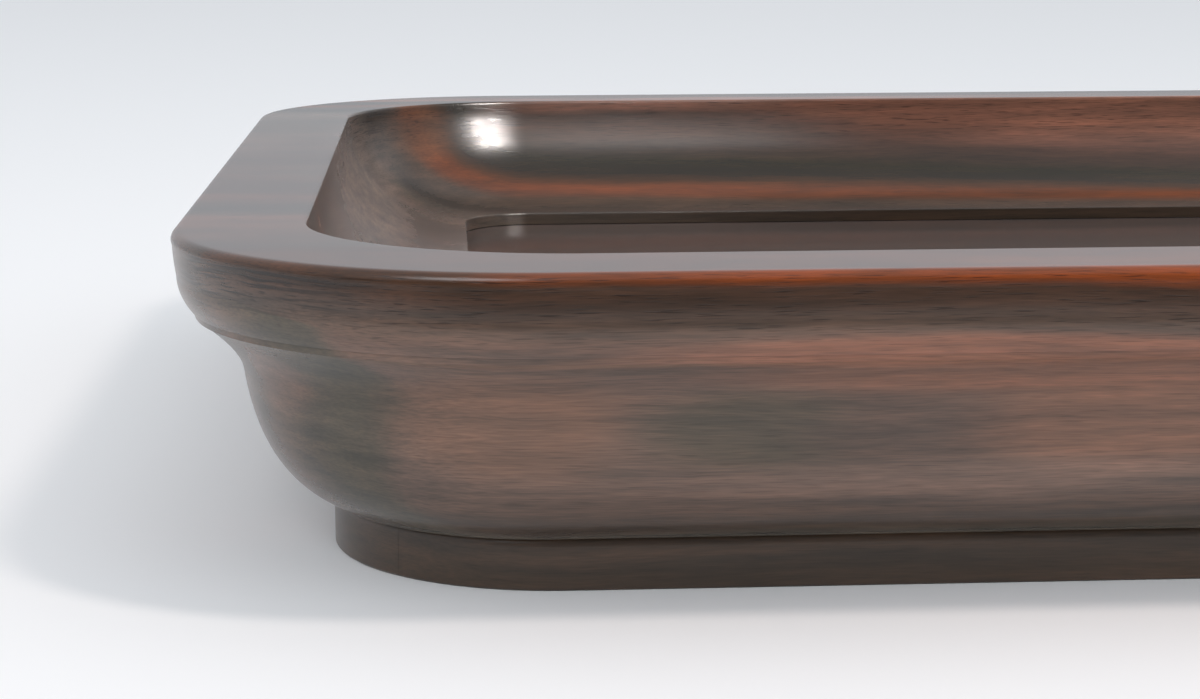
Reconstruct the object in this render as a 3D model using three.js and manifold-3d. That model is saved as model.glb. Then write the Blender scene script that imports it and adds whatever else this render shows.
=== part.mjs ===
// A wooden tea tray: a moulded wall carved in one ring, a floor board let in from below,
// and a low foot frame that is pegged to the wall and holds the floor board in its seat.
// Millimetres. X runs along the tray's length, Y along its depth from front to back, Z up.
// The origin is the centre of the footprint, on the surface that the tray stands on.

import * as THREE from 'three';
import { mergeVertices } from 'three/addons/utils/BufferGeometryUtils.js';
import Module from 'manifold-3d';

const wasm = await Module();
wasm.setup();

// Overall size of the tray
const LENGTH = 360;
const DEPTH = 238;
const HEIGHT = 38;

// Rim: the flat land on top, and its corners in plan
const RIM_WIDTH = 15.4;
const OUTER_CORNER = 43;
const INNER_CORNER = 31.5;
const RIM_ROUNDING = 0.7;
const INNER_ARRIS = 0.3;

// Outer moulding from the top down. A drop is measured down, a tuck inwards.
const BAND_DROP = 5.1;
const BAND_TUCK = 0.5;
const ROLL_DROP = 4.3;
const ROLL_TUCK = 1.9;
const HOLLOW_DROP = 6.6;
const HOLLOW_TUCK = 5.5;
const BELLY_TUCK = 10;
const SOLE_ROUNDING = 0.5;

// Where each curve of the moulding is pulled to, as shares of its tuck and its drop
const ROLL_PULL = [0, 0.54];
const HOLLOW_PULL = [0.88, 0.56];
const BELLY_PULL = [0.17, 0.79];

// Inside of the wall: a cove that runs in and down to a small step above the floor
const COVE_RUN = 20;
const STEP_HEIGHT = 2.1;

// Floor board, and the width of the wall's sole outside its seat
const FLOOR_THICKNESS = 11.5;
const SOLE_WIDTH = 10.5;

// Foot frame
const FOOT_HEIGHT = 5.9;
const FOOT_SETBACK = 0.2;
const FOOT_CORNER = 26.5;
const FOOT_LAP = 4.7;
const FOOT_QUIRK = 0.6;
const FOOT_EDGE = 0.4;

// Loose tongues inside the mitres of the foot frame
const TONGUE_LENGTH = 12;
const TONGUE_THICKNESS = 1.6;
const TONGUE_COVER = 3;

// Pegs that hold the foot frame to the wall
const PEG_DIAMETER = 4.5;
const PEG_BITE = 9;
const PEG_RECESS = 0.4;
const PEG_END_DISTANCE = 18;
const PEGS_PER_LONG_RAIL = 3;
const PEGS_PER_SHORT_RAIL = 2;

// Battens that run across the grain in dovetail grooves under the floor board
const BATTEN_WIDTH = 22;
const BATTEN_INLAY = 4;
const BATTEN_STAND = 2.4;
const BATTEN_SPREAD = 1.2;
const BATTEN_END_GAP = 1;

// Clearances between pieces
const SEAT_GAP = 0.1;
const PANEL_PLAY = 0.5;
const FRAME_GAP = 0.2;
const MITRE_GAP = 0.1;
const JOINT_GAP = 0.3;

// Fineness of the curved faces
const CORNER_STEPS = 12;
const CURVE_STEPS = 7;
const COVE_STEPS = 12;
const ROUNDING_STEPS = 2;
const PEG_SIDES = 16;
const SMALLEST_CORNER = 1;

// Heights and insets that several pieces share. An inset is measured in from the rim's outer edge.
const soleHeight = FOOT_HEIGHT + FRAME_GAP;
const floorTop = soleHeight + FLOOR_THICKNESS;
const toeHeight = floorTop + STEP_HEIGHT;
const toeInset = RIM_WIDTH + COVE_RUN;
const soleInset = BAND_TUCK + ROLL_TUCK + HOLLOW_TUCK + BELLY_TUCK;
const seatInset = soleInset + SOLE_WIDTH;
const footInset = soleInset + FOOT_SETBACK;
const footInnerInset = seatInset + FOOT_LAP;
const footWidth = footInnerInset - footInset;
const pegInset = soleInset + SOLE_WIDTH / 2;

// Finishes
const finish = (colour, roughness) => ({ color: colour, roughness, metalness: 0 });
const WALL_FINISH = finish('#4b3028', 0.34);
const FLOOR_FINISH = finish('#43291f', 0.26);
const FOOT_FINISH = finish('#38261f', 0.4);
const BATTEN_FINISH = finish('#5a3a2a', 0.55);
const PEG_FINISH = finish('#8a6238', 0.6);

// Solids: a geometry becomes a solid that can be joined or cut, and back

function toSolid(geometry) {
  const bare = geometry.clone();
  bare.deleteAttribute('normal');
  bare.deleteAttribute('uv');
  const merged = mergeVertices(bare, 1e-4);
  const vertProperties = new Float32Array(merged.attributes.position.array);
  const triVerts = new Uint32Array(merged.index.array);
  return new wasm.Manifold(new wasm.Mesh({ numProp: 3, vertProperties, triVerts }));
}

function toGeometry(solid) {
  const { vertProperties, triVerts } = solid.getMesh();
  const geometry = new THREE.BufferGeometry();
  geometry.setAttribute('position', new THREE.BufferAttribute(vertProperties, 3));
  geometry.setIndex(new THREE.BufferAttribute(triVerts, 1));
  geometry.computeVertexNormals();
  return geometry;
}

function cutSolid(geometry, cutters) {
  return cutters.reduce((rest, cutter) => rest.subtract(toSolid(cutter)), toSolid(geometry));
}

function cutAll(geometry, cutters) {
  return toGeometry(cutSolid(geometry, cutters));
}

function piece(name, geometry, look) {
  const mesh = new THREE.Mesh(geometry, new THREE.MeshStandardMaterial(look));
  mesh.name = name;
  return mesh;
}

// Sections: points with an inset, a height and the radius of the corner that the point turns in plan

function onCorner(corner, cornerInset) {
  return ({ x, y }) => ({
    inset: x,
    height: y,
    corner: Math.max(corner - (x - cornerInset), SMALLEST_CORNER),
  });
}

const onOuterCorner = onCorner(OUTER_CORNER, 0);
const onInnerCorner = onCorner(INNER_CORNER, RIM_WIDTH);
const onFootCorner = onCorner(FOOT_CORNER, footInset);

const point = (inset, height) => new THREE.Vector2(inset, height);

// A curve of the moulding from a point inwards and down, pulled towards a share of its tuck and drop
function mouldedCurve(start, tuck, drop, [pullIn, pullDown]) {
  const pull = point(start.x + tuck * pullIn, start.y - drop * pullDown);
  const end = point(start.x + tuck, start.y - drop);
  return new THREE.QuadraticBezierCurve(start, pull, end).getPoints(CURVE_STEPS);
}

function rounding(centreInset, centreHeight, radius, from, to) {
  const arc = new THREE.EllipseCurve(centreInset, centreHeight, radius, radius, from, to);
  return arc.getPoints(ROUNDING_STEPS);
}

// Sweeps a closed section, listed down its outside and up its inside, round the tray. It starts
// as a turned ring, whose four quarters are then moved apart to the corners of the rectangle, so
// that straight sides join them.
function sweepRoundTray(section) {
  const stepsPerCorner = CORNER_STEPS + 1;
  const columns = 4 * stepsPerCorner;
  const loop = [...section, section[0]].reverse();
  const ring = new THREE.LatheGeometry(loop.map(({ corner, height }) => point(corner, height)), columns);
  const { position } = ring.attributes;
  for (let column = 0; column <= columns; column += 1) {
    const quarter = Math.floor(column / stepsPerCorner) % 4;
    const angle = (quarter + (column % stepsPerCorner) / CORNER_STEPS) * (Math.PI / 2);
    const sideX = quarter === 0 || quarter === 3 ? 1 : -1;
    const sideY = quarter < 2 ? 1 : -1;
    loop.forEach(({ inset, height, corner }, row) => {
      const x = sideX * (LENGTH / 2 - inset - corner) + corner * Math.cos(angle);
      const y = sideY * (DEPTH / 2 - inset - corner) + corner * Math.sin(angle);
      position.setXYZ(column * loop.length + row, x, y, height);
    });
  }
  return ring;
}

// A plate with rounded corners, set in from the tray's outer edge
function roundedPlate(inset, corner, bottom, thickness) {
  const x = LENGTH / 2 - inset - corner;
  const y = DEPTH / 2 - inset - corner;
  const outline = new THREE.Shape();
  outline.absarc(x, y, corner, 0, Math.PI / 2);
  outline.absarc(-x, y, corner, Math.PI / 2, Math.PI);
  outline.absarc(-x, -y, corner, Math.PI, 1.5 * Math.PI);
  outline.absarc(x, -y, corner, 1.5 * Math.PI, 2 * Math.PI);
  outline.closePath();
  const plate = new THREE.ExtrudeGeometry(outline, {
    depth: thickness,
    bevelEnabled: false,
    curveSegments: CORNER_STEPS,
  });
  return plate.translate(0, 0, bottom);
}

function prism(corners, length) {
  const outline = new THREE.Shape(corners.map(([x, y]) => point(x, y)));
  return new THREE.ExtrudeGeometry(outline, { depth: length, bevelEnabled: false });
}

function upright(diameter, bottom, top, x, y) {
  const post = new THREE.CylinderGeometry(diameter / 2, diameter / 2, top - bottom, PEG_SIDES);
  return post.rotateX(Math.PI / 2).translate(x, y, (bottom + top) / 2);
}

// Pegs: evenly spaced along the straight part of each rail of the foot frame

function alongRail(straight, count) {
  const span = straight - 2 * PEG_END_DISTANCE;
  return Array.from({ length: count }, (_, i) => (i / (count - 1) - 0.5) * span);
}

function pegPlaces() {
  const straightX = LENGTH - 2 * (footInset + FOOT_CORNER);
  const straightY = DEPTH - 2 * (footInset + FOOT_CORNER);
  const sideX = LENGTH / 2 - pegInset;
  const sideY = DEPTH / 2 - pegInset;
  const places = [];
  alongRail(straightX, PEGS_PER_LONG_RAIL).forEach((x, i) => {
    places.push({ rail: 'front', number: i + 1, x, y: -sideY });
    places.push({ rail: 'back', number: i + 1, x, y: sideY });
  });
  alongRail(straightY, PEGS_PER_SHORT_RAIL).forEach((y, i) => {
    places.push({ rail: 'left', number: i + 1, x: -sideX, y });
    places.push({ rail: 'right', number: i + 1, x: sideX, y });
  });
  return places;
}

const pegs = pegPlaces();
const pegTop = soleHeight + PEG_BITE;
const pegHoles = pegs.map(({ x, y }) => (
  upright(PEG_DIAMETER + 2 * JOINT_GAP, -JOINT_GAP, pegTop + JOINT_GAP, x, y)));

function makePegs() {
  return pegs.map(({ rail, number, x, y }) => {
    const post = upright(PEG_DIAMETER, PEG_RECESS, pegTop, 0, 0);
    const peg = piece(`foot_peg_${rail}_${number}`, post, PEG_FINISH);
    peg.position.set(x, y, 0);
    return peg;
  });
}

// Wall: band, roll, hollow and belly outside, cove and step inside, and the floor board's seat below

function outerMoulding() {
  const bandFoot = point(BAND_TUCK, HEIGHT - BAND_DROP);
  const roll = mouldedCurve(bandFoot, ROLL_TUCK, ROLL_DROP, ROLL_PULL);
  const hollow = mouldedCurve(roll.at(-1), HOLLOW_TUCK, HOLLOW_DROP, HOLLOW_PULL);
  const bellyTop = hollow.at(-1);
  const bellyDrop = bellyTop.y - soleHeight - SOLE_ROUNDING;
  const belly = mouldedCurve(bellyTop, BELLY_TUCK, bellyDrop, BELLY_PULL);
  return [
    ...rounding(RIM_ROUNDING, HEIGHT - RIM_ROUNDING, RIM_ROUNDING, Math.PI / 2, Math.PI),
    ...roll,
    ...hollow.slice(1),
    ...belly.slice(1),
    point(soleInset + SOLE_ROUNDING, soleHeight),
  ];
}

function innerCove() {
  const top = HEIGHT - INNER_ARRIS;
  const drop = top - toeHeight;
  const cove = new THREE.EllipseCurve(toeInset, top, COVE_RUN, drop, 1.5 * Math.PI, Math.PI, true);
  return [...cove.getPoints(COVE_STEPS), point(RIM_WIDTH - INNER_ARRIS, HEIGHT)];
}

function makeWall() {
  const seatHeight = floorTop + SEAT_GAP;
  const section = [
    ...outerMoulding().map(onOuterCorner),
    onOuterCorner(point(seatInset, soleHeight)),
    onOuterCorner(point(seatInset, seatHeight)),
    onInnerCorner(point(toeInset, seatHeight)),
    ...innerCove().map(onInnerCorner),
  ];
  return piece('rim_wall', cutAll(sweepRoundTray(section), pegHoles), WALL_FINISH);
}

// Floor board and its battens

const floorInset = seatInset + PANEL_PLAY;
const floorLength = LENGTH - 2 * floorInset;
const floorDepth = DEPTH - 2 * floorInset;
const battenPlaces = { left: -floorLength / 4, right: floorLength / 4 };

// A dovetailed bar along Y, grown all round by a gap where it is the groove for one
function dovetailBar(gap, stand, length) {
  const mouth = BATTEN_WIDTH / 2 + gap;
  const root = mouth + BATTEN_SPREAD;
  const top = BATTEN_INLAY + gap;
  const outline = [[-mouth, -stand], [mouth, -stand], [mouth, 0], [root, top], [-root, top], [-mouth, 0]];
  return prism(outline, length).rotateX(Math.PI / 2).translate(0, length / 2, soleHeight);
}

function makeBattens() {
  const cutBack = footInnerInset + BATTEN_END_GAP - floorInset;
  const endBlock = new THREE.BoxGeometry(2 * BATTEN_WIDTH, 2 * cutBack, 2 * BATTEN_STAND);
  const ends = [-1, 1].map((end) => (
    endBlock.clone().translate(0, (end * floorDepth) / 2, soleHeight - BATTEN_STAND)));
  return Object.entries(battenPlaces).map(([side, x]) => {
    const batten = piece(
      `floor_batten_${side}`,
      cutAll(dovetailBar(0, BATTEN_STAND, floorDepth), ends),
      BATTEN_FINISH,
    );
    batten.position.x = x;
    return batten;
  });
}

function makeFloor() {
  const { corner } = onOuterCorner(point(floorInset, floorTop));
  const board = roundedPlate(floorInset, corner, soleHeight, FLOOR_THICKNESS);
  const grooves = Object.values(battenPlaces).map((x) => (
    dovetailBar(JOINT_GAP, JOINT_GAP, floorDepth + 2 * PANEL_PLAY).translate(x, 0, 0)));
  return piece('floor_board', cutAll(board, grooves), FLOOR_FINISH);
}

// Foot frame: a swept ring, parted at its corners into four mitred rails

function footSection() {
  return [
    point(footInset + FOOT_QUIRK, FOOT_HEIGHT),
    point(footInset, FOOT_HEIGHT - FOOT_QUIRK),
    point(footInset, FOOT_EDGE),
    point(footInset + FOOT_EDGE, 0),
    point(footInnerInset - FOOT_EDGE, 0),
    point(footInnerInset, FOOT_EDGE),
    point(footInnerInset, FOOT_HEIGHT),
  ].map(onFootCorner);
}

// The slice of the frame that belongs to one rail, between the diagonals of its two corners
function railSlice(alongX) {
  const x = LENGTH / 2;
  const y = DEPTH / 2;
  const back = MITRE_GAP / Math.SQRT2;
  return alongX
    ? prism([[-x, -y], [x, -y], [x - y, 0], [y - x, 0]], FOOT_HEIGHT).translate(0, -back, 0)
    : prism([[-x, -y], [y - x, 0], [-x, y]], FOOT_HEIGHT).translate(-back, 0, 0);
}

const tongueWidth = footWidth - 2 * TONGUE_COVER;
const tongueHeight = FOOT_HEIGHT / 2;

// Tongues lie across the diagonal of each corner, in the middle of the frame's width
const tonguePlaces = [
  { name: 'front_left', sideX: -1, sideY: -1 },
  { name: 'front_right', sideX: 1, sideY: -1 },
  { name: 'back_right', sideX: 1, sideY: 1 },
  { name: 'back_left', sideX: -1, sideY: 1 },
].map(({ name, sideX, sideY }) => {
  const reach = (FOOT_CORNER - footWidth / 2) / Math.SQRT2 - footInset - FOOT_CORNER;
  return {
    name,
    x: sideX * (LENGTH / 2 + reach),
    y: sideY * (DEPTH / 2 + reach),
    turn: (sideX * sideY * Math.PI) / 4,
  };
});

const tongue = (gap) => new THREE.BoxGeometry(
  tongueWidth + 2 * gap,
  TONGUE_LENGTH + 2 * gap,
  TONGUE_THICKNESS + 2 * gap,
);

const tongueSlots = tonguePlaces.map(({ x, y, turn }) => (
  tongue(JOINT_GAP).rotateZ(turn).translate(x, y, tongueHeight)));

function makeTongues() {
  return tonguePlaces.map(({ name, x, y, turn }) => {
    const slip = piece(`foot_tongue_${name}`, tongue(0), BATTEN_FINISH);
    slip.position.set(x, y, tongueHeight);
    slip.rotation.z = turn;
    return slip;
  });
}

function makeFootRails() {
  const frame = cutSolid(sweepRoundTray(footSection()), [...pegHoles, ...tongueSlots]);
  const rails = [
    { name: 'front', alongX: true, turn: 0 },
    { name: 'back', alongX: true, turn: Math.PI },
    { name: 'left', alongX: false, turn: 0 },
    { name: 'right', alongX: false, turn: Math.PI },
  ];
  return rails.map(({ name, alongX, turn }) => {
    const slice = toSolid(railSlice(alongX).rotateZ(turn));
    return piece(`foot_rail_${name}`, toGeometry(frame.intersect(slice)), FOOT_FINISH);
  });
}

const tray = new THREE.Group();
tray.name = 'tea_tray';
tray.add(
  makeWall(),
  makeFloor(),
  ...makeBattens(),
  ...makeFootRails(),
  ...makeTongues(),
  ...makePegs(),
);

export default tray;
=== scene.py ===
"""A wooden tea tray, drawn fine round its solids.

Metres. X runs along the tray's length, Y along its depth from front to back, Z up. The origin is
the centre of the footprint, on the surface that the tray stands on. Section sizes are millimetres.
"""

import math

import bmesh
import bpy
from mathutils import Matrix, Vector
from mathutils.geometry import interpolate_bezier


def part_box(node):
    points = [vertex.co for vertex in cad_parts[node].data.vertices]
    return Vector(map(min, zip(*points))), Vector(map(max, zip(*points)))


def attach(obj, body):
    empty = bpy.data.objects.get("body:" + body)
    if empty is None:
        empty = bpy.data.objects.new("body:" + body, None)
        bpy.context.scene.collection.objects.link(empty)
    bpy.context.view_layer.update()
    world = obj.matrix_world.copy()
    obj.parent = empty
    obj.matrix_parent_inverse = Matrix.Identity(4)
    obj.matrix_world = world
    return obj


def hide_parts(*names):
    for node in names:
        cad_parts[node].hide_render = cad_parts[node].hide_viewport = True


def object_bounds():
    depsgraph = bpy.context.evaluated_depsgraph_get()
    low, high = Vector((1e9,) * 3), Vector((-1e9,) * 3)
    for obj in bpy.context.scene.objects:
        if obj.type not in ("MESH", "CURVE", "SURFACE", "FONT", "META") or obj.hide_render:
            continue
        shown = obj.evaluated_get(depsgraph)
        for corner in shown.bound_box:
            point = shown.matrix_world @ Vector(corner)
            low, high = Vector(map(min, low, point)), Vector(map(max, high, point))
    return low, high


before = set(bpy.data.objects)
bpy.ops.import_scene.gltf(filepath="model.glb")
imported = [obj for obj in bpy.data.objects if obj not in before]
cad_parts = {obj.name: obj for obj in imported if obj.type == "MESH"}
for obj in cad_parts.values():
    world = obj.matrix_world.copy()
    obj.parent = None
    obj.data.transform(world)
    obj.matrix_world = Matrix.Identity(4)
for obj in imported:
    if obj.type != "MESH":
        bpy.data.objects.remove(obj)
cad_low, cad_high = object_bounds()

MM = 0.001
QUARTER = math.pi / 2

# Overall size of the tray, in millimetres
LENGTH = (cad_high.x - cad_low.x) / MM
DEPTH = (cad_high.y - cad_low.y) / MM
HEIGHT = (cad_high.z - cad_low.z) / MM

# Wall: insets are measured in from the rim's outer edge, heights up from the ground, and a centre
# is how far in from both edges the corners turn. A flat is a narrow strip beside a rounding, which
# keeps the rounding's shading off the wide face next to it. A lip is how far in the crease's edge
# stands from the foot of the roll
RIM_WIDTH = 15.4
OUTER_CENTRE = 43
INNER_CENTRE = 46.9
RIM_ROUNDING = 1.1
RIM_OUTER_FLAT = 0.6
RIM_INNER_FLAT = 0.5
INNER_ARRIS = 0.45
BAND_TOP = (0.12, 36.4)
BAND_FOOT = (0.5, 32.9)
ROLL_FOOT = (2.4, 28.6)
HOLLOW_TOP = (2.6, 28.15)
HOLLOW_FOOT = (7.9, 22)
SOLE_EDGE = (17.9, 6.15)
CREASE_WIDTH = 0.5
CREASE_DEPTH = 0.05
CREASE_UPPER_LIP = -0.12
CREASE_LOWER_LIP = 0.1
SOLE_ROUNDING = 0.22
SEAT_INSET = 28.4
SEAT_HEIGHT = 17.7
TOE_INSET = 35.4
TOE_HEIGHT = 19.7
TOE_ROUNDING = 0.25
TOE_FLAT = 0.2

# How each curve of the wall bulges: the share of its tuck and of its drop that it is pulled to.
# A handle reaches two thirds of the way to the pull, which gives the curve a single even bend
HANDLE = 2 / 3
BAND_PULL = (0.2, 0.5)
ROLL_PULL = (0, 0.54)
HOLLOW_PULL = (0.88, 0.56)
BELLY_PULL = (0.17, 0.79)

# Floor board
FLOOR_CENTRE = 43
FLOOR_INSET = 28.9
FLOOR_TOP = 17.6
FLOOR_BOTTOM = 6.1
FLOOR_EDGE = 0.4
FLOOR_FLAT = 1

# Foot frame. The quirk is drawn by points, each so many quirk widths in and down
FOOT_CENTRE = 44.6
FOOT_INSET = 18.1
FOOT_INNER_INSET = 33.1
FOOT_HEIGHT = 5.9
FOOT_QUIRK = 0.32
FOOT_QUIRK_POINTS = [(1, 0), (0.5, 0.6), (0.12, 1.7), (0, 3)]
FOOT_EDGE = 0.4
MITRE_GAP = 0.015

# Pegs, and the holes that they stand in
PEG_DIAMETER = 4.5
PEG_HOLE = 5.1
PEG_BOTTOM = 0.4
PEG_TOP = 15.1
PEG_CHAMFER = 0.35
HOLE_TOP = 15.4
HOLE_BOTTOM = -1

# Battens, and the grooves that they sit in
BATTEN_MOUTH = 11
BATTEN_ROOT = 12.2
BATTEN_TOP = 10.1
BATTEN_BOTTOM = 3.7
BATTEN_CUT_BACK = 5.2
BATTEN_CHAMFER = 0.6
GROOVE_GAP = 0.3

# Fineness of the curved faces, the angle from which an edge is sharp, the distance in metres at
# which points are one, and the millimetres within which a height is the same
CORNER_STEPS = 40
CURVE_STEPS = 14
BAND_STEPS = 6
BELLY_STEPS = 24
COVE_STEPS = 30
ROUND_STEPS = 6
CHAMFER_STEPS = 3
PEG_SIDES = 32
SHARP = math.radians(35)
TOUCHING = 1e-7
HAIR = 0.01


# Camera: the photograph's place in metres, and its turns in radians to the right, down and over
CAMERA_PLACE = (-0.14873, -0.38007, 0.07579)
CAMERA_YAW = 0.0606
CAMERA_PITCH = 0.1726
CAMERA_ROLL = 0.0034
FOCAL_LENGTH = 78.48
SENSOR_WIDTH = 36
NEAREST_SHOWN = 0.01


def set_camera():
    lens = bpy.data.cameras.new("camera")
    lens.sensor_fit = "HORIZONTAL"
    lens.sensor_width = SENSOR_WIDTH
    lens.lens = FOCAL_LENGTH
    lens.clip_start = NEAREST_SHOWN
    camera = bpy.data.objects.new("camera", lens)
    camera.matrix_world = (
        Matrix.Translation(CAMERA_PLACE)
        @ Matrix.Rotation(-CAMERA_YAW, 4, "Z")
        @ Matrix.Rotation(QUARTER - CAMERA_PITCH, 4, "X")
        @ Matrix.Rotation(-CAMERA_ROLL, 4, "Z")
    )
    bpy.context.scene.collection.objects.link(camera)
    bpy.context.scene.camera = camera
    bpy.context.scene.view_settings.view_transform = "Standard"


set_camera()


# Colours and material nodes

def linear(code):
    """A colour written as sRGB hex, turned linear."""
    parts = [int(code[i:i + 2], 16) / 255 for i in (1, 3, 5)]
    return [p / 12.92 if p <= 0.04045 else ((p + 0.055) / 1.055) ** 2.4 for p in parts] + [1]


def node(tree, kind, inputs=None, stops=None, **settings):
    """Adds a node. An input is a number, a vector, a colour or the socket that feeds it."""
    made = tree.nodes.new(kind)
    for name, value in settings.items():
        setattr(made, name, value)
    for place, (position, colour) in enumerate(stops or []):
        ramp = made.color_ramp.elements
        stop = ramp[place] if place < 2 else ramp.new(1)
        stop.position = position
        stop.color = colour
    for key, value in (inputs or {}).items():
        if isinstance(value, bpy.types.NodeSocket):
            tree.links.new(value, made.inputs[key])
        else:
            made.inputs[key].default_value = value
    return made


def new_material(name):
    material = bpy.data.materials.new(name)
    material.use_nodes = True
    material.node_tree.nodes.clear()
    return material, material.node_tree


# How far the layers of a board reach to the front and to the back of its middle, in millimetres
LAYERS_REACH = 119
# Layers of the wall's board: a place across the board in millimetres, and the colour there
WALL_LAYERS = [
    (-119, "#5b473b"), (-100.5, "#4f4a41"), (-97, "#4a463c"), (-93, "#4e453b"), (-88, "#56463b"),
    (-84, "#45392f"), (-61, "#6e4c3d"), (-57, "#43382f"), (-48, "#4a3f35"), (-40, "#6c4b3c"),
    (-35, "#463a31"), (-15, "#5c483c"), (5, "#463b32"), (20, "#5f4c42"), (37, "#5b4a40"),
    (55, "#4a3f36"), (74, "#5f534a"), (81, "#4c443b"), (84, "#30271e"), (87, "#43382e"),
    (90.4, "#4b3c30"), (92.4, "#643311"), (94, "#66340f"), (95.4, "#43290f"), (96.6, "#261c0e"),
    (98.6, "#252010"), (100, "#3a2c22"), (101.4, "#4a352a"), (102.6, "#735041"), (104, "#825b4a"),
    (110, "#54443a"), (119, "#4a3d34"),
]
# Colours of the front face, which is cut along the layers: a height, and the colour there
WALL_FACE = [
    (5.9, "#3f352c"), (8.5, "#4d4036"), (11, "#5f5047"), (14, "#62544c"), (18, "#66574e"),
    (21, "#62534a"), (25, "#69574e"), (28, "#6b594f"), (30, "#665349"), (31.7, "#5a4b41"),
    (33, "#52443b"), (35, "#4a382e"), (37, "#48301f"), (38, "#482a16"),
]
# Clouds in the wall's figure, one of them a painted reflection: the middle, the reach along X, Y
# and Z, the colour and how strong
WALL_CLOUDS_AND_PAINTED_REFLECTION = [
    ((-86, -117, 28.8), (56, 12, 2.6), "#8f6350", 0.9),
    ((-80, -114, 26.1), (52, 12, 3.6), "#835d4b", 0.8),
    ((-143, -110, 21), (18, 12, 9), "#745949", 0.6),
    ((-116, -110, 20), (17, 10, 6), "#504b41", 0.85),
    ((-99, -111, 19.5), (17, 10, 4.5), "#574a43", 0.7),
    ((-76, -111, 20), (22, 10, 7), "#7a5b4b", 0.7),
    ((-85, -107, 14.2), (55, 10, 4), "#7a685f", 0.6),
    ((-167, -95, 23.5), (8, 8, 5), "#6f574b", 0.6),
    ((-100, -119, 35.2), (80, 7, 2.6), "#3f2e22", 0.6),
    ((-60, -112, 38.7), (150, 18, 1.8), "#5a3318", 1),
    ((-173, -30, 38.7), (18, 120, 1.8), "#452a20", 0.6),
    ((-168, -106, 36.2), (30, 16, 1.1), "#241a14", 0.7),
    ((-80, -119.3, 37.8), (100, 3.4, 2.4), "#803d14", 0.95),
    ((-154, 98, 33), (10, 10, 9), "#74513a", 0.6),
    # Painted reflection: a pale grey cloud in the left cove, for the bright room that its polish
    # mirrors
    ((-160, 43, 29), (12, 62, 13), "#80766f", 0.85),
    ((-112, 104, 37.2), (34, 6, 2.2), "#7f5b4d", 0.85),
]
# Share of a cloud's reach, from its edge inwards, over which it comes up to its strength
CLOUD_EDGE = 0.6

# Layers of the boards under the wall: plainer and darker in the floor, browner in the foot
FLOOR_LAYERS = [
    (-119, "#35241b"), (-84, "#2c1f17"), (-60, "#452f24"), (-42, "#32221a"), (-20, "#38271d"),
    (2, "#4a3225"), (18, "#2f2119"), (40, "#3c2a20"), (62, "#281d16"), (80, "#3d2a1f"),
    (119, "#33241b"),
]
FOOT_LAYERS = [
    (-119, "#3d332b"), (-101, "#43372c"), (-60, "#4c4036"), (0, "#3c322a"), (60, "#4a3d33"),
    (119, "#40352d"),
]

# How the layers stand: how far they wander and over what reach, how much they lean forwards and
# spread for each millimetre of height, how much they slant along the board, and where they start
LAYER_DRIFT = 3
LAYER_DRIFT_REACH = (45, 20, 14)
LAYER_DRIFT_DETAIL = 3
LAYER_LEAN = 0.155
LAYER_SPREAD = -0.00195
LAYER_SLANT = 0.03
LAYER_START = 3
# Where the face's colours give way to the layers: heights, and the layer at each of them
FACE_RISE = (31, 34)
FACE_LAYERS = (-100.8, -85)
FACE_BLUR = (-1.2, 1)
# Streaks and fibres: their reach along, across and up, their detail, and how much they change
STREAKS = [
    ((60, 7, 2.5), 2, 0.17),
    ((18, 6, 1), 3, 0.17),
    ((4, 0.5, 0.18), 1, 0.11),
]
STREAK_RANGE = (0.25, 0.75)
STREAK_DARK = (1.5, 1.3, 1.2)
STREAK_PALE = (1.9, 1.3, 1)
# Pores: a fine stroke of 4 by 0.16 mm on an upright face. On a level one they are drawn 1.4 mm
# wide, coarser than they are, so that they show at a low angle
PORE_REACH = (4, 1.4, 0.16)
PORE_RANGE = (0.58, 0.7)
PORE_COLOUR = "#150e0b"
PORE_DEPTH = 0.03
PORE_BUMP = 0.5
# A thin bloom on the wax, which pales the wood a little at a low angle
BLOOM = 0.12
BLOOM_ROUGHNESS = 0.4
# Pores lie open towards the rim, and wax fills those on its flat top: heights and shares
OPEN_RISE = (29, 34)
OPEN_SHARE = (0.2, 0.6)
WAXED_RISE = (37.2, 37.8)
WAXED_SHARE = 0.15
# Growth rings cut across at the ends of the band, where the pores join up into dark lines
RING_REACH = (9, 9, 0.32)
RING_RANGE = (0.5, 0.64)
RING_ENDS = (152, 168)
RING_SHARE = 0.85
RING_RISE = (31, 33.5)
RING_TOP = (36.9, 37.4)


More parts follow.
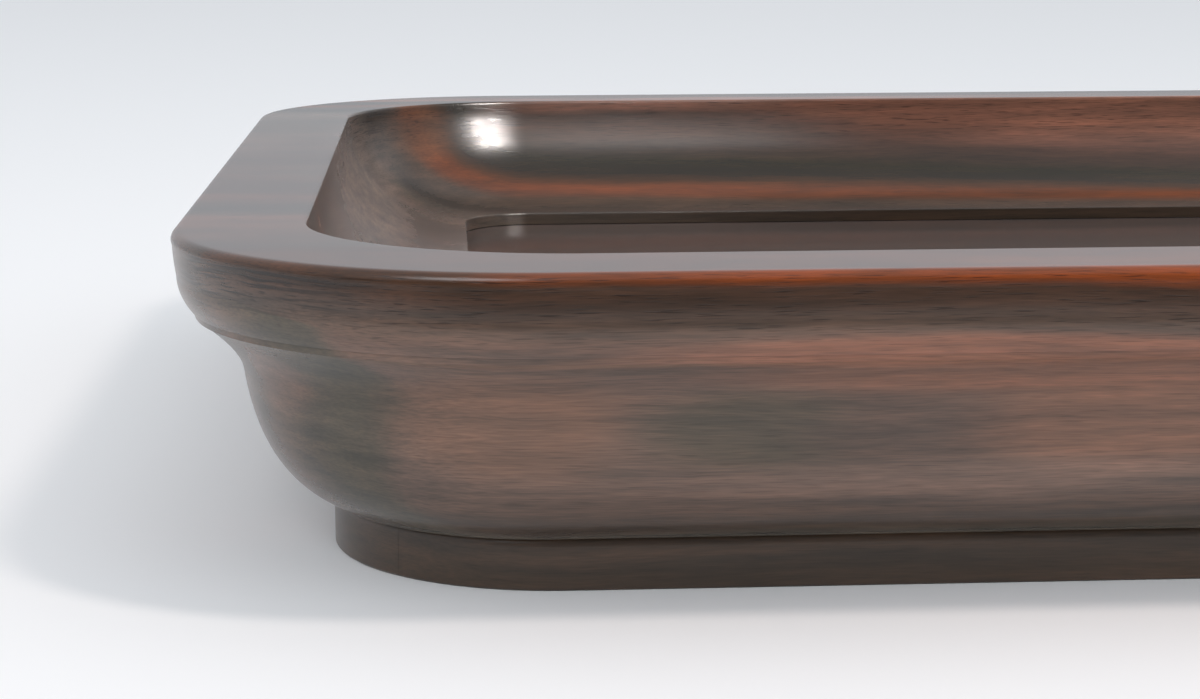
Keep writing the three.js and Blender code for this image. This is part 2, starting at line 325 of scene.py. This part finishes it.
def rosewood(name, layers, face=None, clouds_and_painted_reflection=(), gloss=0.26):
    """Rosewood, cut and finished by hand. Layers of dark and red-brown wood stand nearly upright
    along the board, soft fibres run through them, and open pores show as short dark strokes."""
    material, tree = new_material(name)
    where = node(tree, "ShaderNodeTexCoord").outputs["Object"]
    grain = node(tree, "ShaderNodeMapping", {
        "Vector": where,
        "Location": (0, -LAYER_DRIFT / 2, -LAYER_DRIFT / 2),
        "Scale": (1 / MM, 1 / MM, 1 / MM),
    }).outputs["Vector"]
    drift = node(tree, "ShaderNodeTexNoise", {
        "Vector": node(tree, "ShaderNodeMapping", {
            "Vector": grain, "Scale": [1 / reach for reach in LAYER_DRIFT_REACH],
        }).outputs[0],
        "Scale": 1,
        "Detail": LAYER_DRIFT_DETAIL,
    }).outputs["Color"]
    drifted = node(tree, "ShaderNodeVectorMath", {
        0: drift, 1: (0, LAYER_DRIFT, LAYER_DRIFT), 2: grain,
    }, operation="MULTIPLY_ADD").outputs[0]

    # The layers lean over towards the front of the board
    along, across, up = node(tree, "ShaderNodeSeparateXYZ", {0: drifted}).outputs
    spread = node(tree, "ShaderNodeMath", {
        0: up, 1: LAYER_SPREAD, 2: 1,
    }, operation="MULTIPLY_ADD").outputs[0]
    slant = node(tree, "ShaderNodeMath", {
        0: along, 1: LAYER_SLANT, 2: LAYER_START,
    }, operation="MULTIPLY_ADD").outputs[0]
    lean = node(tree, "ShaderNodeMath", {
        0: up, 1: LAYER_LEAN, 2: slant,
    }, operation="MULTIPLY_ADD").outputs[0]
    layer = node(tree, "ShaderNodeMath", {
        0: across, 1: spread, 2: lean,
    }, operation="MULTIPLY_ADD").outputs[0]
    board = node(tree, "ShaderNodeMapRange", {
        "Value": layer, "From Min": -LAYERS_REACH, "From Max": LAYERS_REACH,
    }).outputs["Result"]
    colour = node(tree, "ShaderNodeValToRGB", {"Fac": board}, stops=[
        ((place + LAYERS_REACH) / (2 * LAYERS_REACH), linear(code)) for place, code in layers
    ]).outputs["Color"]

    # The front face is cut along the layers, so its colours go by height
    if face:
        rows = node(tree, "ShaderNodeMapRange", {
            "Value": up, "From Max": HEIGHT,
        }).outputs["Result"]
        face_colour = node(tree, "ShaderNodeValToRGB", {"Fac": rows}, stops=[
            (height / HEIGHT, linear(code)) for height, code in face
        ]).outputs["Color"]
        edge = node(tree, "ShaderNodeMapRange", {
            "Value": up, "From Min": FACE_RISE[0], "From Max": FACE_RISE[1],
            "To Min": FACE_LAYERS[0], "To Max": FACE_LAYERS[1],
        }, interpolation_type="SMOOTHSTEP").outputs["Result"]
        past = node(tree, "ShaderNodeMath", {0: layer, 1: edge}, operation="SUBTRACT").outputs[0]
        behind = node(tree, "ShaderNodeMapRange", {
            "Value": past, "From Min": FACE_BLUR[0], "From Max": FACE_BLUR[1],
        }, interpolation_type="SMOOTHSTEP").outputs["Result"]
        colour = node(tree, "ShaderNodeMix", {
            0: behind, 6: face_colour, 7: colour,
        }, data_type="RGBA").outputs[2]
    # Clouds of figure, and a painted reflection where a cloud stands for one
    for middle, reach, code, strength in clouds_and_painted_reflection:
        near = node(tree, "ShaderNodeTexGradient", {
            "Vector": node(tree, "ShaderNodeMapping", {
                "Vector": drifted,
                "Location": [-m / r for m, r in zip(middle, reach)],
                "Scale": [1 / r for r in reach],
            }).outputs[0],
        }, gradient_type="SPHERICAL").outputs["Fac"]
        share = node(tree, "ShaderNodeMapRange", {
            "Value": near, "From Max": CLOUD_EDGE, "To Max": strength,
        }, interpolation_type="SMOOTHSTEP").outputs["Result"]
        colour = node(tree, "ShaderNodeMix", {
            0: share, 6: colour, 7: linear(code),
        }, data_type="RGBA").outputs[2]

    # Long soft streaks and fine fibres
    fibre_space = node(tree, "ShaderNodeCombineXYZ", {"X": along, "Y": layer, "Z": up}).outputs[0]
    for size, detail, change in STREAKS:
        streak = node(tree, "ShaderNodeTexNoise", {
            "Vector": node(tree, "ShaderNodeMapping", {
                "Vector": fibre_space, "Scale": [1 / reach for reach in size],
            }).outputs[0],
            "Scale": 1,
            "Detail": detail,
        }).outputs["Fac"]
        tint = node(tree, "ShaderNodeValToRGB", {"Fac": streak}, stops=[
            (STREAK_RANGE[0], [1 - part * change for part in STREAK_DARK] + [1]),
            (STREAK_RANGE[1], [1 + part * change for part in STREAK_PALE] + [1]),
        ]).outputs["Color"]
        colour = node(tree, "ShaderNodeMix", {
            0: 1, 6: colour, 7: tint,
        }, data_type="RGBA", blend_type="MULTIPLY").outputs[2]

    # Pores, more open towards the rim and filled on its flat top
    pores = node(tree, "ShaderNodeTexNoise", {
        "Vector": node(tree, "ShaderNodeMapping", {
            "Vector": grain, "Scale": [1 / reach for reach in PORE_REACH],
        }).outputs[0],
        "Scale": 1,
        "Detail": 1,
    }).outputs["Fac"]
    open_near_rim = node(tree, "ShaderNodeMapRange", {
        "Value": up, "From Min": OPEN_RISE[0], "From Max": OPEN_RISE[1],
        "To Min": OPEN_SHARE[0], "To Max": OPEN_SHARE[1],
    }).outputs["Result"]
    waxed = node(tree, "ShaderNodeMapRange", {
        "Value": up, "From Min": WAXED_RISE[0], "From Max": WAXED_RISE[1],
        "To Min": open_near_rim, "To Max": WAXED_SHARE,
    }).outputs["Result"]
    pore = node(tree, "ShaderNodeMapRange", {
        "Value": pores, "From Min": PORE_RANGE[0], "From Max": PORE_RANGE[1], "To Max": waxed,
    }).outputs["Result"]

    # Growth rings at the ends of the band
    rings = node(tree, "ShaderNodeTexNoise", {
        "Vector": node(tree, "ShaderNodeMapping", {
            "Vector": drifted, "Scale": [1 / reach for reach in RING_REACH],
        }).outputs[0],
        "Scale": 1,
        "Detail": 1,
    }).outputs["Fac"]
    from_middle = node(tree, "ShaderNodeMath", {0: along}, operation="ABSOLUTE").outputs[0]
    at_end = node(tree, "ShaderNodeMapRange", {
        "Value": from_middle, "From Min": RING_ENDS[0], "From Max": RING_ENDS[1],
        "To Max": RING_SHARE,
    }).outputs["Result"]
    in_band = node(tree, "ShaderNodeMapRange", {
        "Value": up, "From Min": RING_RISE[0], "From Max": RING_RISE[1], "To Max": at_end,
    }).outputs["Result"]
    below_top = node(tree, "ShaderNodeMapRange", {
        "Value": up, "From Min": RING_TOP[0], "From Max": RING_TOP[1],
        "To Min": in_band, "To Max": 0,
    }).outputs["Result"]
    ring = node(tree, "ShaderNodeMapRange", {
        "Value": rings, "From Min": RING_RANGE[0], "From Max": RING_RANGE[1],
        "To Max": below_top,
    }).outputs["Result"]

    opened = node(tree, "ShaderNodeMath", {0: pore, 1: ring}, operation="MAXIMUM").outputs[0]
    pored = node(tree, "ShaderNodeMix", {
        0: opened, 6: colour, 7: linear(PORE_COLOUR),
    }, data_type="RGBA").outputs[2]
    sunken = node(tree, "ShaderNodeBump", {
        "Height": opened, "Strength": PORE_BUMP, "Distance": -PORE_DEPTH * MM,
    }).outputs["Normal"]
    surface = node(tree, "ShaderNodeBsdfPrincipled", {
        "Base Color": pored,
        "Roughness": gloss,
        "IOR": 1.5,
        "Sheen Weight": BLOOM,
        "Sheen Roughness": BLOOM_ROUGHNESS,
        "Normal": sunken,
    }).outputs["BSDF"]
    node(tree, "ShaderNodeOutputMaterial", {"Surface": surface})
    return material


# Bamboo: its fibre bundles stand about 0.45 mm apart, and reach some 17 times as far up the peg
BUNDLES_PER_MM = 2.2
BUNDLE_STRETCH = 1000 / 60


def bamboo():
    """Bamboo, split and shaved: pale straw brown, with the darker dots of its fibres on the end."""
    material, tree = new_material("bamboo_shaved")
    where = node(tree, "ShaderNodeTexCoord").outputs["Object"]
    fibres = node(tree, "ShaderNodeTexVoronoi", {
        "Vector": node(tree, "ShaderNodeMapping", {
            "Vector": where, "Scale": (1 / MM, 1 / MM, 1 / MM / BUNDLE_STRETCH),
        }).outputs[0],
        "Scale": BUNDLES_PER_MM,
    }).outputs["Distance"]
    colour = node(tree, "ShaderNodeValToRGB", {"Fac": fibres}, stops=[
        (0.12, linear("#4a321c")),
        (0.4, linear("#9a7040")),
    ]).outputs["Color"]
    surface = node(tree, "ShaderNodeBsdfPrincipled", {
        "Base Color": colour, "Roughness": 0.6, "IOR": 1.5,
    }).outputs["BSDF"]
    node(tree, "ShaderNodeOutputMaterial", {"Surface": surface})
    return material


# Sections, as points with an inset and a height

def curve(start, end, pull, steps=CURVE_STEPS):
    """A curve of the moulding, pulled towards a share of its tuck and its drop."""
    tuck, drop = end[0] - start[0], end[1] - start[1]
    pulled = Vector((start[0] + tuck * pull[0], start[1] + drop * pull[1]))
    start, end = Vector(start), Vector(end)
    points = interpolate_bezier(
        start, start.lerp(pulled, HANDLE), end.lerp(pulled, HANDLE), end, steps,
    )
    return [tuple(p)[:2] for p in points]


def arc(centre, radii, start, end, steps=ROUND_STEPS):
    angles = [math.radians(start + (end - start) * i / steps) for i in range(steps + 1)]
    return [
        (centre[0] + radii[0] * math.cos(a), centre[1] + radii[1] * math.sin(a)) for a in angles
    ]


def rounded(centre_inset, centre_height, radius, start, end):
    return arc((centre_inset, centre_height), (radius, radius), start, end)


def outer_section():
    return [
        (RIM_ROUNDING + RIM_OUTER_FLAT, HEIGHT),
        *rounded(RIM_ROUNDING, HEIGHT - RIM_ROUNDING, RIM_ROUNDING, 90, 180),
        *curve(BAND_TOP, BAND_FOOT, BAND_PULL, BAND_STEPS),
        *curve(BAND_FOOT, ROLL_FOOT, ROLL_PULL)[1:-1],
        (ROLL_FOOT[0] + CREASE_UPPER_LIP, ROLL_FOOT[1] + CREASE_WIDTH),
        (ROLL_FOOT[0] + CREASE_DEPTH, ROLL_FOOT[1]),
        (ROLL_FOOT[0] + CREASE_LOWER_LIP, ROLL_FOOT[1] - CREASE_WIDTH),
        *curve(HOLLOW_TOP, HOLLOW_FOOT, HOLLOW_PULL)[1:],
        *curve(HOLLOW_FOOT, SOLE_EDGE, BELLY_PULL, BELLY_STEPS)[1:],
        *rounded(SOLE_EDGE[0] + SOLE_ROUNDING, SOLE_EDGE[1], SOLE_ROUNDING, 180, 270)[1:],
        (SEAT_INSET, SOLE_EDGE[1] - SOLE_ROUNDING),
        (SEAT_INSET, SEAT_HEIGHT),
    ]


def inner_section():
    top = HEIGHT - INNER_ARRIS
    cove_run = TOE_INSET - RIM_WIDTH
    return [
        (TOE_INSET, SEAT_HEIGHT),
        (TOE_INSET, TOE_HEIGHT - TOE_ROUNDING - TOE_FLAT),
        *rounded(TOE_INSET - TOE_ROUNDING, TOE_HEIGHT - TOE_ROUNDING, TOE_ROUNDING, 0, 90),
        *arc((TOE_INSET, top), (cove_run, top - TOE_HEIGHT), 270, 180, COVE_STEPS)[1:],
        *rounded(RIM_WIDTH - INNER_ARRIS, top, INNER_ARRIS, 0, 90)[1:],
        (RIM_WIDTH - INNER_ARRIS - RIM_INNER_FLAT, HEIGHT),
    ]


def floor_section():
    return [
        (FLOOR_INSET + FLOOR_EDGE + FLOOR_FLAT, FLOOR_TOP),
        *rounded(FLOOR_INSET + FLOOR_EDGE, FLOOR_TOP - FLOOR_EDGE, FLOOR_EDGE, 90, 180),
        *rounded(FLOOR_INSET + FLOOR_EDGE, FLOOR_BOTTOM + FLOOR_EDGE, FLOOR_EDGE, 180, 270),
        (FLOOR_INSET + FLOOR_EDGE + FLOOR_FLAT, FLOOR_BOTTOM),
    ]


def foot_section():
    quirk = [
        (FOOT_INSET + tuck * FOOT_QUIRK, FOOT_HEIGHT - drop * FOOT_QUIRK)
        for tuck, drop in FOOT_QUIRK_POINTS
    ]
    return [
        *quirk,
        *rounded(FOOT_INSET + FOOT_EDGE, FOOT_EDGE, FOOT_EDGE, 180, 270),
        *rounded(FOOT_INNER_INSET - FOOT_EDGE, FOOT_EDGE, FOOT_EDGE, 270, 360),
        (FOOT_INNER_INSET, FOOT_HEIGHT),
    ]


# Mesh making

def edges_of(geometry):
    return [e for e in geometry if isinstance(e, bmesh.types.BMEdge)]


def points_of(geometry):
    return [v for v in geometry if isinstance(v, bmesh.types.BMVert)]


def draw_to_middle(bm, edges, axis):
    """Draws edges straight out to the tray's middle, where that coordinate is 0."""
    for point in points_of(bmesh.ops.extrude_edge_only(bm, edges=edges)["geom"]):
        point.co[axis] = 0


def sweep_corner(bm, section, centre, start=0, turn=QUARTER, closed=False):
    """Turns a section round the corner at the back right, and draws its start out to the middle of
    the side. A turn that begins at 0 starts on the right side, one that begins at a quarter on the
    back. It returns the edges where the turn ends."""
    pivot = Vector((LENGTH / 2 - centre, DEPTH / 2 - centre, 0)) * MM
    points = [
        bm.verts.new(pivot + Vector((centre - inset, 0, height)) * MM) for inset, height in section
    ]
    pairs = list(zip(points, points[1:])) + ([(points[-1], points[0])] if closed else [])
    first = [bm.edges.new(pair) for pair in pairs]
    bmesh.ops.rotate(bm, verts=points, cent=pivot, matrix=Matrix.Rotation(start, 3, "Z"))
    last = bmesh.ops.spin(
        bm, geom=points + first, cent=pivot, axis=(0, 0, 1), angle=turn,
        steps=round(CORNER_STEPS * abs(turn) / QUARTER),
    )["geom_last"]
    draw_to_middle(bm, first, 1 if start == 0 else 0)
    return edges_of(last)


def mirror(bm, axis):
    bmesh.ops.mirror(
        bm, geom=bm.verts[:] + bm.edges[:] + bm.faces[:], axis=axis, merge_dist=TOUCHING,
    )


def close_ring(bm):
    mirror(bm, "X")
    mirror(bm, "Y")
    bmesh.ops.remove_doubles(bm, verts=bm.verts[:], dist=TOUCHING)


def open_edges(bm, height=None):
    """Edges with a face on one side only. A height picks those that run level there."""
    edges = [e for e in bm.edges if e.is_boundary]
    if height is not None:
        edges = [e for e in edges if all(abs(v.co.z - height * MM) < TOUCHING for v in e.verts)]
    return edges


def to_mesh(bm, name):
    bmesh.ops.recalc_face_normals(bm, faces=bm.faces[:])
    for face in bm.faces:
        face.smooth = True
    mesh = bpy.data.meshes.new(name)
    bm.to_mesh(mesh)
    bm.free()
    return mesh


def add_piece(bm, name, material, replaced, cutters=()):
    """Makes a piece of a bmesh, less its cutters, which rides with the tray in place of a node."""
    piece = bpy.data.objects.new(name, to_mesh(bm, name))
    bpy.context.scene.collection.objects.link(piece)
    for cutter in cutters:
        cut = piece.modifiers.new("cut", "BOOLEAN")
        cut.operation = "DIFFERENCE"
        cut.solver = "EXACT"
        cut.object = cutter
    if cutters:
        cut_piece = piece.evaluated_get(bpy.context.evaluated_depsgraph_get())
        mesh = bpy.data.meshes.new_from_object(cut_piece)
        piece.modifiers.clear()
        piece.data = mesh
        mesh.name = name
    piece.data.set_sharp_from_angle(angle=SHARP)
    piece.data.materials.clear()
    piece.data.materials.append(material)
    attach(piece, "root")
    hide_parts(replaced)


def make_cutter(bm, name):
    cutter = bpy.data.objects.new(name, to_mesh(bm, name))
    bpy.context.scene.collection.objects.link(cutter)
    return cutter


# Pegs: shaved posts with a small chamfer, which stand in round holes

def peg_place(peg_node):
    low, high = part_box(peg_node)
    return (low.x + high.x) / 2, (low.y + high.y) / 2


def add_post(bm, diameter, bottom, top, x, y):
    bmesh.ops.create_cone(
        bm, cap_ends=True, segments=PEG_SIDES, radius1=diameter / 2 * MM,
        radius2=diameter / 2 * MM, depth=(top - bottom) * MM,
        matrix=Matrix.Translation((x, y, (bottom + top) / 2 * MM)),
    )


peg_nodes = sorted(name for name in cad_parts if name.startswith("foot_peg_"))


def make_peg_holes():
    bm = bmesh.new()
    for name in peg_nodes:
        add_post(bm, PEG_HOLE, HOLE_BOTTOM, HOLE_TOP, *peg_place(name))
    return make_cutter(bm, "peg_holes")


def make_pegs(material):
    for name in peg_nodes:
        bm = bmesh.new()
        add_post(bm, PEG_DIAMETER, PEG_BOTTOM, PEG_TOP, *peg_place(name))
        rims = [e for e in bm.edges if abs(e.verts[0].co.z - e.verts[1].co.z) < TOUCHING]
        bmesh.ops.bevel(
            bm, geom=rims, offset=PEG_CHAMFER * MM, affect="EDGES", segments=CHAMFER_STEPS,
            profile=0.5, material=-1,
        )
        add_piece(bm, name.replace("foot_peg", "shaved_peg"), material, name)


# Wall and floor board

def make_wall(material, cutters):
    bm = bmesh.new()
    draw_to_middle(bm, sweep_corner(bm, outer_section(), OUTER_CENTRE), 0)
    draw_to_middle(bm, sweep_corner(bm, inner_section(), INNER_CENTRE), 0)
    for height in (HEIGHT, SEAT_HEIGHT):
        bmesh.ops.bridge_loops(bm, edges=open_edges(bm, height))
    close_ring(bm)
    add_piece(bm, "carved_wall", material, "rim_wall", cutters)


def add_dovetail_bar(bm, gap, bottom, length, x):
    """A bar along Y whose sides spread upwards from the board's underside."""
    mouth, root, top = BATTEN_MOUTH + gap, BATTEN_ROOT + gap, BATTEN_TOP + gap
    outline = [(-mouth, bottom), (mouth, bottom), (root, top), (-root, top)]
    face = bm.faces.new([
        bm.verts.new(Vector((x / MM + across, -length / 2, height)) * MM)
        for across, height in outline
    ])
    drawn = bmesh.ops.extrude_face_region(bm, geom=[face])["geom"]
    bmesh.ops.translate(bm, verts=points_of(drawn), vec=(0, length * MM, 0))


def batten_middle(side):
    low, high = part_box(f"floor_batten_{side}")
    return (low.x + high.x) / 2


def make_floor(material):
    grooves = []
    for side in ("left", "right"):
        bm = bmesh.new()
        add_dovetail_bar(bm, GROOVE_GAP, FLOOR_BOTTOM - GROOVE_GAP, DEPTH, batten_middle(side))
        grooves.append(make_cutter(bm, f"groove_{side}"))
    bm = bmesh.new()
    draw_to_middle(bm, sweep_corner(bm, floor_section(), FLOOR_CENTRE), 0)
    close_ring(bm)
    bmesh.ops.holes_fill(bm, edges=open_edges(bm), sides=0)
    add_piece(bm, "well_floor", material, "floor_board", grooves)
    for groove in grooves:
        bpy.data.objects.remove(groove)


def make_battens(material):
    """Each batten is a dovetailed bar with a deeper part below, which stops short of the foot."""
    full = DEPTH - 2 * FLOOR_INSET
    for side in ("left", "right"):
        bm = bmesh.new()
        add_dovetail_bar(bm, 0, FLOOR_BOTTOM, full, batten_middle(side))
        for end in (-1, 1):
            bmesh.ops.bisect_plane(
                bm, geom=bm.verts[:] + bm.edges[:] + bm.faces[:], dist=TOUCHING,
                plane_co=(0, end * (full / 2 - BATTEN_CUT_BACK) * MM, 0), plane_no=(0, 1, 0),
            )
        low = [f for f in bm.faces if f.calc_center_median().z < (FLOOR_BOTTOM + HAIR) * MM]
        under = [f for f in low if abs(f.calc_center_median().y) < full / 4 * MM]
        deep = bmesh.ops.extrude_face_region(bm, geom=under)["geom"]
        bmesh.ops.delete(bm, geom=under, context="FACES")
        down = (BATTEN_BOTTOM - FLOOR_BOTTOM) * MM
        bmesh.ops.translate(bm, verts=points_of(deep), vec=(0, 0, down))
        lowest = (BATTEN_BOTTOM + HAIR) * MM
        bmesh.ops.bevel(
            bm, geom=[e for e in bm.edges if all(v.co.z < lowest for v in e.verts)],
            offset=BATTEN_CHAMFER * MM, affect="EDGES", segments=CHAMFER_STEPS, profile=0.5,
            material=-1,
        )
        name = f"dovetailed_batten_{side}"
        add_piece(bm, name, material, f"floor_batten_{side}")


# Foot frame: four rails whose ends meet in mitres at the corners. A rail is made on the right or at
# the back, and flipped over for the other side
RAILS = [
    ("right", 0, None), ("left", 0, (-1, 1, 1)), ("back", QUARTER, None),
    ("front", QUARTER, (1, -1, 1)),
]


def make_foot_rails(material, holes):
    half_turn = QUARTER / 2 - MITRE_GAP / (FOOT_CENTRE - FOOT_INSET)
    for side, start, flip in RAILS:
        bm = bmesh.new()
        short = start == 0
        turn = half_turn if short else -half_turn
        end = sweep_corner(bm, foot_section(), FOOT_CENTRE, start, turn, closed=True)
        bmesh.ops.contextual_create(bm, geom=end)
        mirror(bm, "Y" if short else "X")
        bmesh.ops.remove_doubles(bm, verts=bm.verts[:], dist=TOUCHING)
        if flip:
            bmesh.ops.scale(bm, vec=flip, verts=bm.verts[:])
        replaced = f"foot_rail_{side}"
        add_piece(bm, f"mitred_rail_{side}", material, replaced, [holes])


def dress_tongues(material):
    """The loose tongues in the mitres stay as they are in the frame, in bare wood."""
    for name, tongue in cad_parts.items():
        if name.startswith("foot_tongue_"):
            tongue.data.materials.clear()
            tongue.data.materials.append(material)


# Carved and waxed: dark wood with red and orange layers, under a soft, even gloss
# Its clouds include a painted reflection in the left cove
wall_wood = rosewood("rosewood_carved_and_waxed", WALL_LAYERS, WALL_FACE, WALL_CLOUDS_AND_PAINTED_REFLECTION)
# Planed and waxed: a flat, darker board whose clearer gloss mirrors the cove
floor_wood = rosewood("rosewood_planed_and_waxed", FLOOR_LAYERS, gloss=0.14)
# Planed and oiled: plain brown wood with a low gloss
foot_wood = rosewood("rosewood_planed_and_oiled", FOOT_LAYERS, gloss=0.3)
# Sawn and left bare: the same plain brown without a gloss, for the pieces inside and below
hidden_wood = rosewood("rosewood_sawn_bare", FOOT_LAYERS, gloss=0.6)
# Split and shaved: pale straw brown, dull, dotted on the end
peg_bamboo = bamboo()

peg_holes = make_peg_holes()
make_wall(wall_wood, [peg_holes])
make_floor(floor_wood)
make_battens(hidden_wood)
make_foot_rails(foot_wood, peg_holes)
bpy.data.objects.remove(peg_holes)
make_pegs(peg_bamboo)
dress_tongues(hidden_wood)


# White paper below, a small lamp near the tray's front, a wide one far off at the left, spots for
# the glint in the cove, and a pale surround. Distances are metres, from here on
PAPER_REACH = 6
# Where the painted shade in the polish begins in front of the tray, and its colour
POLISH_SHADE_EDGE = (-0.21, -0.155)
PAPER_WHITE = "#f7f7f7"
PAPER_SHADE_IN_POLISH = "#2c2a29"


def make_ground():
    """White paper, matt and evenly lit, which takes the tray's shadow. In the polish it shows dark
    from a
    little way in front of the tray: painted shade, for the camera and the shade it casts there."""
    material, tree = new_material("white_paper_matt")
    where = node(tree, "ShaderNodeTexCoord").outputs["Object"]
    back = node(tree, "ShaderNodeMapRange", {
        "Value": node(tree, "ShaderNodeSeparateXYZ", {0: where}).outputs["Y"],
        "From Min": POLISH_SHADE_EDGE[0], "From Max": POLISH_SHADE_EDGE[1],
    }, interpolation_type="SMOOTHSTEP").outputs["Result"]
    in_front = node(tree, "ShaderNodeMath", {0: 1, 1: back}, operation="SUBTRACT").outputs[0]
    mirrored = node(tree, "ShaderNodeLightPath").outputs["Is Glossy Ray"]
    # Painted shade, seen in the polish only: the paper in front of the tray turns dark
    painted_shade_in_polish = node(tree, "ShaderNodeMath", {
        0: mirrored, 1: in_front,
    }, operation="MULTIPLY").outputs[0]
    colour = node(tree, "ShaderNodeMix", {
        0: painted_shade_in_polish, 6: linear(PAPER_WHITE), 7: linear(PAPER_SHADE_IN_POLISH),
    }, data_type="RGBA").outputs[2]
    surface = node(tree, "ShaderNodeBsdfDiffuse", {"Color": colour}).outputs[0]
    node(tree, "ShaderNodeOutputMaterial", {"Surface": surface})
    bm = bmesh.new()
    bmesh.ops.create_grid(bm, x_segments=1, y_segments=1, size=PAPER_REACH)
    ground = bpy.data.objects.new("paper_sheet", to_mesh(bm, "paper_sheet"))
    ground.data.materials.append(material)
    bpy.context.scene.collection.objects.link(ground)


def add_lamp(name, position, target, size, power, colour, cone=None, polish=True):
    """An oval lamp that faces a point of the tray, and may show in the polish or not. One with a
    cone, in degrees, is a round spot of that reach, which shows in the polish alone."""
    light = bpy.data.lights.new(name, "SPOT" if cone else "AREA")
    if cone:
        light.shadow_soft_size = size
        light.spot_size = math.radians(cone)
        light.spot_blend = 1
    else:
        light.shape = "ELLIPSE"
        light.size, light.size_y = size
    light.energy = power
    light.color = linear(colour)[:3]
    lamp = bpy.data.objects.new(name, light)
    lamp.location = position
    lamp.rotation_euler = (Vector(position) - Vector(target)).to_track_quat("Z", "Y").to_euler()
    lamp.visible_camera = False
    lamp.visible_diffuse = not cone
    lamp.visible_glossy = polish
    bpy.context.scene.collection.objects.link(lamp)


# The surround's colours at the skyline and overhead, and where it darkens behind the camera
SKYLINE = "#ced3da"
OVERHEAD = "#e4e7eb"
DARK_FRONT = (-0.62, -0.88)
DARK_FRONT_SHARE = 0.25


def set_surround():
    """A pale room, a little brighter overhead and darker behind the camera."""
    world = bpy.data.worlds.new("surround")
    world.use_nodes = True
    tree = world.node_tree
    tree.nodes.clear()
    way = node(tree, "ShaderNodeTexCoord").outputs["Generated"]
    parts = node(tree, "ShaderNodeSeparateXYZ", {0: way}).outputs
    level = node(tree, "ShaderNodeValToRGB", {"Fac": parts["Z"]}, stops=[
        (0, linear(SKYLINE)),
        (1, linear(OVERHEAD)),
    ]).outputs["Color"]
    front = node(tree, "ShaderNodeMapRange", {
        "Value": parts["Y"], "From Min": DARK_FRONT[0], "From Max": DARK_FRONT[1],
        "To Min": 1, "To Max": DARK_FRONT_SHARE,
    }, interpolation_type="SMOOTHSTEP").outputs["Result"]
    light = node(tree, "ShaderNodeBackground", {"Color": level, "Strength": front}).outputs[0]
    node(tree, "ShaderNodeOutputWorld", {"Surface": light})
    bpy.context.scene.world = world


# Spots whose mirror image makes the glint: they aim at the cove's corner from one distance, each
# with its turn to the right and its rise, in degrees
COVE_CORNER = (-0.144, 0.098, 0.031)
SPOT_DISTANCE = 1.4
SPOT_TURNS = (23, 35)
SPOT_RISES = (18, 30, 43)
NEAR_FRONT = (-0.1, -0.05, 0.02)

make_ground()
add_lamp(
    "lamp_key", position=(0.18, -0.244, 0.6), target=NEAR_FRONT, size=(0.072, 0.13), power=1.1,
    colour="#fff1e9", polish=False,
)
spots = [(turn, rise) for turn in SPOT_TURNS for rise in SPOT_RISES]
for place, (turn, rise) in enumerate(spots):
    lifted = Matrix.Rotation(math.radians(-rise), 3, "X") @ Vector((0, -SPOT_DISTANCE, 0))
    turned = Matrix.Rotation(math.radians(turn), 3, "Z") @ lifted
    add_lamp(
        f"lamp_spot_{place}", position=turned + Vector(COVE_CORNER), target=COVE_CORNER,
        size=0.045, power=112, colour="#fff6f2", cone=3,
    )
add_lamp(
    "lamp_fill", position=(-1.24, -2.03, 1.94), target=NEAR_FRONT, size=(1.5, 1.5), power=29.2,
    colour="#f6faff",
)
set_surround()
